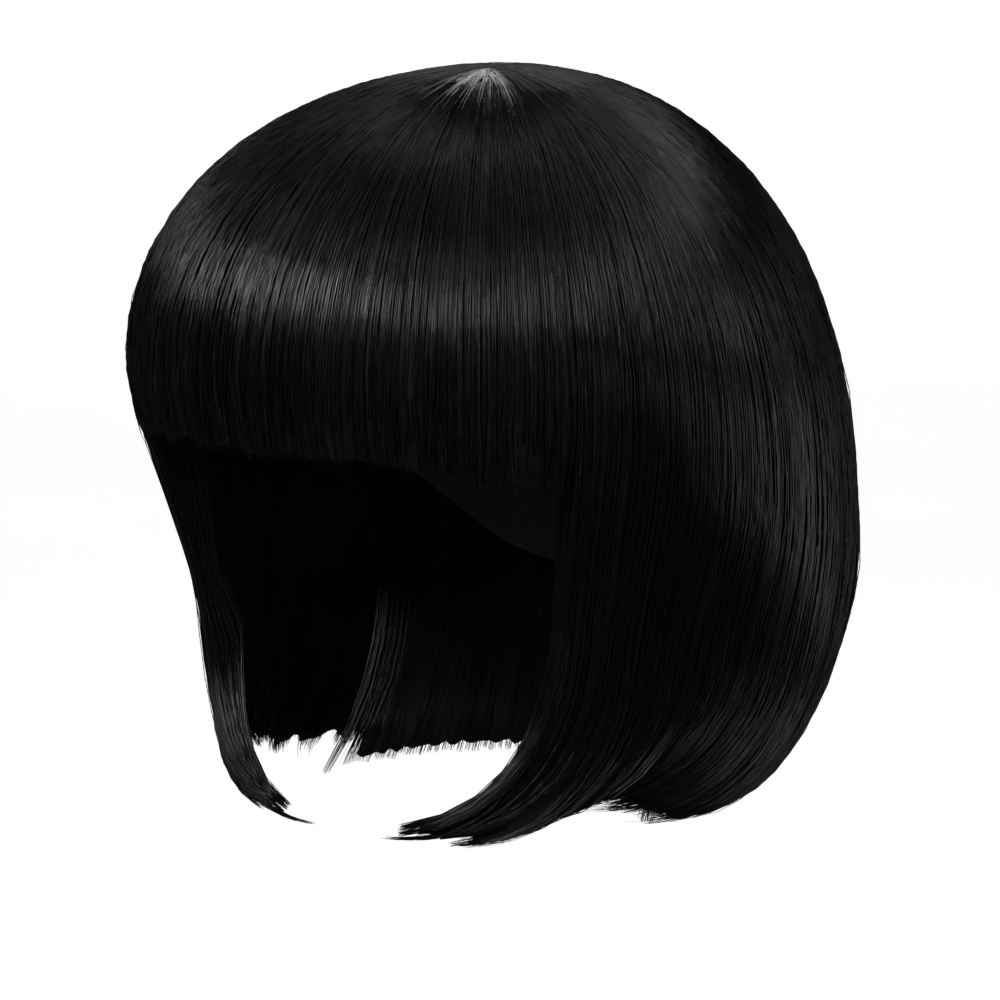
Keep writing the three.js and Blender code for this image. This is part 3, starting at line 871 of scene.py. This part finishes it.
STRETCHES = {
    "fringe": {
        "node": "fringe",
        "first": -FRINGE_ANGLE,
        "last": FRINGE_ANGLE,
        "count": 1560,
        "inner_count": 250,
        "rings": 19,
        "seed": 11,
        "spread": FRINGE_SPREAD,
    },
    "side_hair_left": {
        "node": "side_hair_left",
        "first": FRINGE_ANGLE,
        "last": SIDE_ANGLE,
        "count": 1120,
        "inner_count": 240,
        "rings": 24,
        "seed": 12,
        "spread": SPREAD,
    },
    "side_hair_right": {
        "node": "side_hair_right",
        "first": 360 - SIDE_ANGLE,
        "last": 360 - FRINGE_ANGLE,
        "count": 1120,
        "inner_count": 240,
        "rings": 24,
        "seed": 13,
        "spread": SPREAD,
    },
    "back_hair_left": {
        "node": "back_hair",
        "first": SIDE_ANGLE,
        "last": 180,
        "count": 840,
        "inner_count": 330,
        "rings": 24,
        "seed": 14,
        "spread": SPREAD,
    },
    "back_hair_right": {
        "node": "back_hair",
        "first": 180,
        "last": 360 - SIDE_ANGLE,
        "count": 840,
        "inner_count": 330,
        "rings": 24,
        "seed": 15,
        "spread": SPREAD,
    },
}
for name, stretch in STRETCHES.items():
    node = stretch.pop("node")
    form = FORMS[node]
    shell = riding(base(name + "_mass", form, stretch["first"], stretch["last"]))
    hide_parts(node)
    strands = riding(dress(name + "_strands", form, **stretch))
    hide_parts(node)

NAPE_COUNT = 1150
NAPE_CLUMPS = 70
NAPE_RINGS = 9
NAPE_SEED = 16
NAPE_EDGE_WIDTH = 14  # degrees from its free edges where its ends are most uneven
NAPE_STEP = 3.5  # degrees by which its mass stands back from its free edges
NAPE_MASS_DEPTHS = (0.25, 0.8)


def nape_point(angle, share, deep):
    """A point of the under-layer: share 0 at its top and 1 at its ends, deep 0 outside and 1 inside."""
    z = -lerp(NAPE_START, NAPE_DROP - HAIR_TOP, share)
    sweep = SWEEP * column_at(BOB_ENDS, "sweep", folded(angle)) * share**NAPE_BEND
    at = angle + np.where(angle > 180, sweep, -sweep)
    full = smoothstep(share, 0, NAPE_EASE) * (1 - smoothstep(share, 1 - NAPE_EASE, 1))
    seat = head_radius(at, z, CAP_WALL + SEAT_GAP)
    return place(at, seat + NAPE_THICKNESS * lerp(NAPE_THIN, 1, full) * (1 - deep), z)


def nape_strands(count, rings, seed):
    """Strands of the under-layer, gathered in clumps, with uneven tips beside its free edges."""
    rng = np.random.default_rng(seed)
    first, last = NAPE_ANGLE, 360 - NAPE_ANGLE
    clumps = NAPE_CLUMPS
    angle = lerp(first, last, (np.arange(count) + rng.uniform(0, 1, count)) / count)
    centre = lerp(first, last, (np.arange(clumps) + 0.5) / clumps)
    clump = ((angle - first) / (360 - 2 * NAPE_ANGLE) * clumps).astype(int)
    clump = np.clip(clump, 0, clumps - 1)
    t = np.linspace(0, 1, rings)[None, :]
    edge = 1 - smoothstep(folded(angle) - NAPE_ANGLE, 0, NAPE_EDGE_WIDTH)
    end = 1 - rng.exponential(0.009, count) - rng.uniform(0, 0.012, clumps)[clump]
    end = end - edge * rng.uniform(-0.01, 0.05, clumps)[clump]
    share = end[:, None] * t
    gather = rng.uniform(0.1, 0.45, clumps)[clump] + 0.3 * edge
    gather = gather[:, None] * smoothstep(t, 0.4, 1)
    aside = (rng.normal(0, 1, count) * lerp(0.7, 1.8, edge))[:, None] * t
    aside = aside * (1 - 0.75 * smoothstep(t, 0.6, 1))
    forward = np.where(angle > 180, 1, -1) * edge * rng.uniform(0, 7, clumps)[clump]
    a = angle[:, None] + (centre[clump] - angle)[:, None] * gather
    a = a + aside + forward[:, None] * t**5
    deep = rng.uniform(0.04, 0.96, count)[:, None]
    deep = np.clip(deep + waved(wave(rng, count, 0.05), np.arange(count), share), 0, 1)
    path = nape_point(a, share, deep)
    outward = unit(path * np.array([1, 1, 0]))
    radii = strand_radii(rng, count, rings)
    return tubes(path, outward, radii, rng.uniform(0, 1, count), np.zeros((count, rings)))


def nape_shell():
    """The under-layer's mass, whose lower edge is a little wavy."""
    columns, rows = 90, 16
    first = NAPE_ANGLE + NAPE_STEP
    angle = np.linspace(first, 360 - first, columns)[None, :]
    angle = np.broadcast_to(angle, (rows, columns))
    reach = 0.965 + 0.006 * np.sin(angle * 1.3) + 0.004 * np.sin(angle * 2.9)
    share = np.linspace(0, 1, rows)[:, None] * reach
    outer, inner = (nape_point(angle, share, np.full(angle.shape, d)) for d in NAPE_MASS_DEPTHS)
    arc = np.radians(angle) * CAP_BACK
    return wall_mesh(outer, inner, arc, share * (NAPE_DROP - HAIR_TOP - NAPE_START))


nape = riding(new_mesh("nape_hair_mass", *nape_shell(), BASE))
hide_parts("nape_hair")
strands = nape_strands(NAPE_COUNT, NAPE_RINGS, NAPE_SEED)
nape = riding(new_mesh("nape_hair_strands", *strands, HAIR))
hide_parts("nape_hair")


def cap_shell():
    """The cap's outer and inner grids, and the direction of each of their points."""
    columns, rows = 109, 28
    angle = np.broadcast_to(np.linspace(0, 360, columns)[None, :-1], (rows, columns - 1))
    t = np.linspace(0.004, 1, rows)[:, None]
    grids = []
    for grown in (CAP_WALL, 0):
        drop = (cap_edge(angle) + grown) * np.sin(t**1.2 * math.pi / 2)
        z = grown - drop
        grids.append(place(angle, head_radius(angle, z, grown), z))
    return angle, grids


def cap_mesh():
    """The cap as a closed thin shell, as arrays for new_mesh."""
    angle, (outer, inner) = cap_shell()
    rows, columns = angle.shape
    points = np.concatenate([outer.reshape(-1, 3), inner.reshape(-1, 3), [[0, 0, CAP_WALL], [0, 0, 0]]])
    out = np.arange(rows * columns).reshape(rows, columns)
    into = out + rows * columns
    crown, under = 2 * rows * columns, 2 * rows * columns + 1
    out_next, into_next = np.roll(out, -1, axis=1), np.roll(into, -1, axis=1)
    quads = np.concatenate(
        [
            faces_of(out[:-1], out[1:], out_next[1:], out_next[:-1]),
            faces_of(into[:-1], into_next[:-1], into_next[1:], into[1:]),
            faces_of(out[-1], into[-1], into_next[-1], out_next[-1]),
        ]
    )
    triangles = np.concatenate(
        [
            faces_of(np.full(columns, crown), out[0], out_next[0]),
            faces_of(np.full(columns, under), into_next[0], into[0]),
        ]
    )
    arc = np.radians(angle) * np.hypot(outer[..., 0], outer[..., 1])
    weave = np.stack([arc, length_down(outer), np.zeros_like(arc)], -1).reshape(-1, 3)
    return points, quads, triangles, {"strand": np.concatenate([weave, weave, np.zeros((2, 3))])}


cap = riding(new_mesh("cap_net", *cap_mesh(), NET))
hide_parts("wig_cap")


def whorl_mesh():
    """The plug under the whorl, closed, with a dimpled top."""
    sides = 72
    top = HAIR_TOP - 0.05
    rim = WHORL_RADIUS - SEAM_GAP
    profile = [(1.2, CAP_WALL + SEAT_GAP), (1.8, 8), (4.5, 15)]
    for r in np.linspace(1, 0.04, 14):
        profile.append((rim * r, top - WHORL_DIMPLE * (1 - r**2) ** 1.5 - 0.12))
    profile = np.array(profile)
    turn = np.linspace(0, 360, sides, endpoint=False)
    points = place(turn[None, :], profile[:, :1], profile[:, 1:]).reshape(-1, 3)
    at = np.arange(len(profile) * sides).reshape(len(profile), sides)
    right = np.roll(at, -1, axis=1)
    quads = np.stack([at[:-1], right[:-1], right[1:], at[1:]], -1).reshape(-1, 4)
    points = np.concatenate([points, [[0, 0, profile[0, 1]], [0, 0, profile[-1, 1] - 0.02]]])
    low, high = len(points) - 2, len(points) - 1
    triangles = np.concatenate(
        [
            np.stack([np.full(sides, low), right[0], at[0]], -1),
            np.stack([np.full(sides, high), at[-1], right[-1]], -1),
        ]
    )
    radial = np.broadcast_to(profile[:, :1], at.shape)
    arc = np.broadcast_to(np.radians(turn)[None, :] * 10, at.shape)
    strand = np.stack([arc, radial, np.zeros(at.shape)], -1).reshape(-1, 3)
    return points, quads, triangles, {"strand": np.concatenate([strand, np.zeros((2, 3))])}


WHORL_HIGHLIGHT_FACING = 26  # direction toward which the painted highlight on the whorl's roots shows
WHORL_THINNER = 0.7
WHORL_COUNT = 620
WHORL_RINGS = 8
WHORL_SEED = 17


def whorl_roots(count, rings, seed):
    """Short strands that spread out from the whorl over the hair round it, their pale roots mostly a
    painted highlight.
    """
    rng = np.random.default_rng(seed)
    angle = rng.uniform(0, 360, count)
    start = 0.4 + 6.6 * rng.uniform(0, 1, count) ** 2
    length = rng.uniform(12, 56, count)
    t = np.linspace(0, 1, rings)[None, :]
    radius = start[:, None] + length[:, None] * t
    a = angle[:, None] + rng.normal(0, 14, count)[:, None] * (1 - np.minimum(radius / 26, 1)) ** 2
    a = a + rng.normal(0, 1.2, count)[:, None] * t
    form = FORMS["fringe"]
    stage = first_stage(a, np.minimum(radius, 60))
    point = hair_point(a, stage, form)
    normal = hair_normal(a, np.maximum(stage, 0.03), form)
    dimple = 0.4 * WHORL_DIMPLE * (1 - np.clip(radius / WHORL_RADIUS, 0, 1) ** 2) ** 1.5
    lift = rng.uniform(-0.45, 0.1, count)[:, None] * (1 - t) - 0.45 * t - dimple
    path = point + normal * lift[..., None]
    # Painted highlight: the roots are painted pale in radial streaks, strongly on one side of the whorl
    # and only faintly elsewhere
    highlight_streak = 0.62 + 0.2 * np.sin(angle * 0.9) + 0.13 * np.sin(angle * 2.3 + 1)
    highlight_streak = highlight_streak + rng.uniform(-0.15, 0.15, count)
    root = (1 - smoothstep(radius, 14, 60)) ** 1.3 * np.clip(highlight_streak, 0, 1)[:, None]
    root = root * (0.06 + 0.94 * (1 - smoothstep(np.abs(folded(a - WHORL_HIGHLIGHT_FACING)), 4, 32)))
    radii = strand_radii(rng, count, rings) * WHORL_THINNER
    return tubes(path, normal, radii, rng.uniform(0, 1, count), root)


whorl = riding(new_mesh("whorl_plug", *whorl_mesh(), WHORL))
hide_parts("crown_whorl")
roots = whorl_roots(WHORL_COUNT, WHORL_RINGS, WHORL_SEED)
riding(new_mesh("whorl_roots", *roots, ROOTS))

# The camera, at the photo's angle
camera_data = bpy.data.cameras.new("camera")
camera = bpy.data.objects.new("camera", camera_data)
bpy.context.scene.collection.objects.link(camera)
AZIMUTH, ELEVATION, DISTANCE = math.radians(35), math.radians(8), 1.5
camera.location = (
    DISTANCE * math.sin(AZIMUTH) * math.cos(ELEVATION),
    -DISTANCE * math.cos(AZIMUTH) * math.cos(ELEVATION),
    DISTANCE * math.sin(ELEVATION),
)
AIM = Vector((0.011, -0.011, -0.110))
camera.rotation_euler = (AIM - camera.location).to_track_quat("-Z", "Y").to_euler()
camera_data.sensor_width = 36
camera_data.lens = 178
bpy.context.scene.camera = camera


LAMP_AIM = Vector((0, 0, -0.08))
LAMP_DISTANCE = 1.7
# Each lamp's direction and height in degrees, its width and height in metres, and its power
LAMPS = {
    "key_left": (-32, 28, 1.0, 0.5, 17),
    "key": (2, 38, 0.9, 0.55, 41),
    "top_front": (22, 59, 0.7, 0.4, 5),
    "top": (0, 78, 1.4, 0.7, 2),
    "top_back": (215, 66, 0.9, 0.6, 1.4),
    "back": (195, 20, 0.6, 0.4, 2.5),
    "crown": (148, 60, 0.9, 0.6, 4),
    "side_front": (80, 8, 0.6, 0.5, 2),
    "side_high": (106, 24, 0.7, 0.5, 5),
    "side": (108, -9, 1.0, 1.0, 11.5),
    "side_low": (112, -27, 0.9, 0.4, 1.2),
}
for name, (azimuth, elevation, width, height, power) in LAMPS.items():
    data = bpy.data.lights.new(name, "AREA")
    data.shape = "RECTANGLE"
    data.size, data.size_y = width, height
    data.energy = power
    lamp = bpy.data.objects.new(name, data)
    a, e = math.radians(azimuth), math.radians(elevation)
    away = Vector((math.sin(a) * math.cos(e), -math.cos(a) * math.cos(e), math.sin(e)))
    lamp.location = LAMP_AIM + LAMP_DISTANCE * away
    lamp.rotation_euler = (LAMP_AIM - lamp.location).to_track_quat("-Z", "Y").to_euler()
    lamp.visible_camera = False
    bpy.context.scene.collection.objects.link(lamp)

world = bpy.data.worlds.new("studio")
bpy.context.scene.world = world
world.use_nodes = True
background = world.node_tree.nodes["Background"]
background.inputs["Color"].default_value = (1, 1, 1, 1)
background.inputs["Strength"].default_value = 0.05
bpy.context.scene.view_settings.view_transform = "Standard"

FLOOR_DEPTH = -0.95
FLOOR_RADIUS = 5
FLOOR_RINGS = 12
RISE_WIDTH = 2.2
RISE_HEIGHT = 1.9
RISE_RINGS = 14


def studio_floor():
    """A round floor whose edge rises in a wide curve."""
    sides = 96
    bend = np.linspace(0.1, math.pi / 2, RISE_RINGS)
    flat = np.linspace(0.02, FLOOR_RADIUS, FLOOR_RINGS)
    radius = np.concatenate([flat, FLOOR_RADIUS + RISE_WIDTH * np.sin(bend)])
    rise = np.concatenate([np.zeros(FLOOR_RINGS), RISE_HEIGHT * (1 - np.cos(bend))])
    turn = np.linspace(0, FULL_TURN, sides, endpoint=False)
    x = radius[:, None] * np.cos(turn)
    y = radius[:, None] * np.sin(turn)
    z = np.broadcast_to(FLOOR_DEPTH + rise[:, None], x.shape)
    points = np.stack([x, y, z], -1).reshape(-1, 3)
    at = np.arange(x.size).reshape(x.shape)
    right = np.roll(at, -1, axis=1)
    quads = np.stack([at[:-1], at[1:], right[1:], right[:-1]], -1).reshape(-1, 4)
    mesh = bpy.data.meshes.new("floor")
    mesh.from_pydata(points.tolist(), [], [*quads.tolist(), at[0].tolist()])
    mesh.polygons.foreach_set("use_smooth", np.ones(len(mesh.polygons), dtype=bool))
    mesh.materials.append(floor_material())
    made = bpy.data.objects.new("floor", mesh)
    made.visible_glossy = False
    bpy.context.scene.collection.objects.link(made)
    return made


studio_floor()
